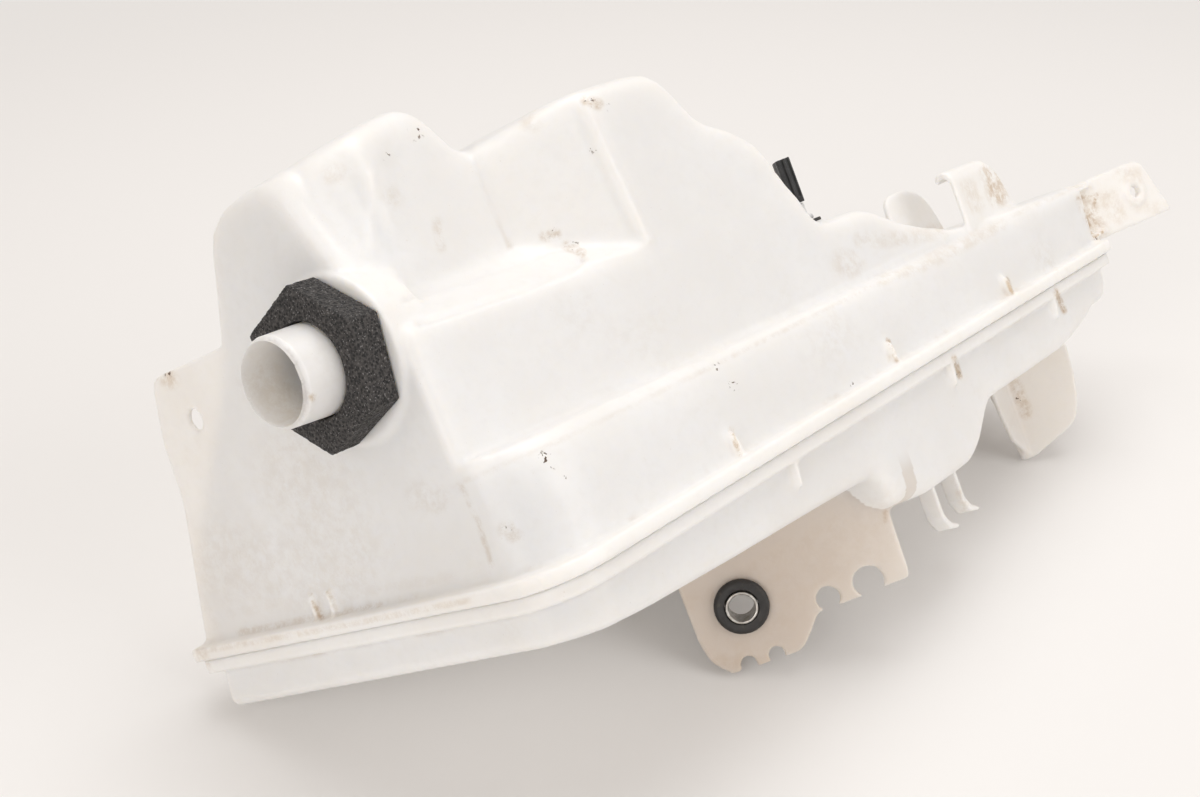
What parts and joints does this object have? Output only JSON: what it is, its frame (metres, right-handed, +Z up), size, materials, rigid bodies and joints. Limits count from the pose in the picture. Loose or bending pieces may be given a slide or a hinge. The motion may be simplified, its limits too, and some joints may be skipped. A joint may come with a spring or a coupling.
{
  "type": "washer fluid reservoir",
  "caption": "Moulded milky plastic washer fluid tank with filler neck, foam collar, welded flange, fixing ears, rubber bushing and a level sensor with a float.",
  "frame": {"origin": "on the flat surface under the centre of the bounding box, with the tank lying as in the picture", "axes": "+X along the tank, away from the filler neck; +Z up from the surface; +Y towards the tank's back wall"},
  "size_m": [0.5124, 0.2584, 0.2418],
  "materials": {
    "milky_plastic": "milky, slightly translucent moulded plastic with dust and faint brown stains",
    "foam": "black closed-cell foam, matte",
    "rubber": "black rubber, matte",
    "steel": "plated steel, dull",
    "grey_plastic": "pale grey moulded plastic",
    "black_plastic": "black moulded plastic",
    "float": "pale foamed plastic, inferred"
  },
  "bodies": {
    "tank": {"upper_shell": "milky_plastic", "lower_shell": "milky_plastic", "foam_collar": "foam", "rubber_bushing": "rubber", "steel_sleeve": "steel", "sensor_seal": "rubber", "sensor_stem": "grey_plastic", "sensor_plug": "black_plastic", "float_stop": "grey_plastic", "port_seal": "rubber"},
    "float": {"sensor_float": "float"}
  },
  "joints": [
    {"name": "float_slide", "type": "slide", "parent": "tank", "child": "float", "axis": [0.1419, 0.5446, 0.8266], "range_m": [0, 0.06]}
  ]
}
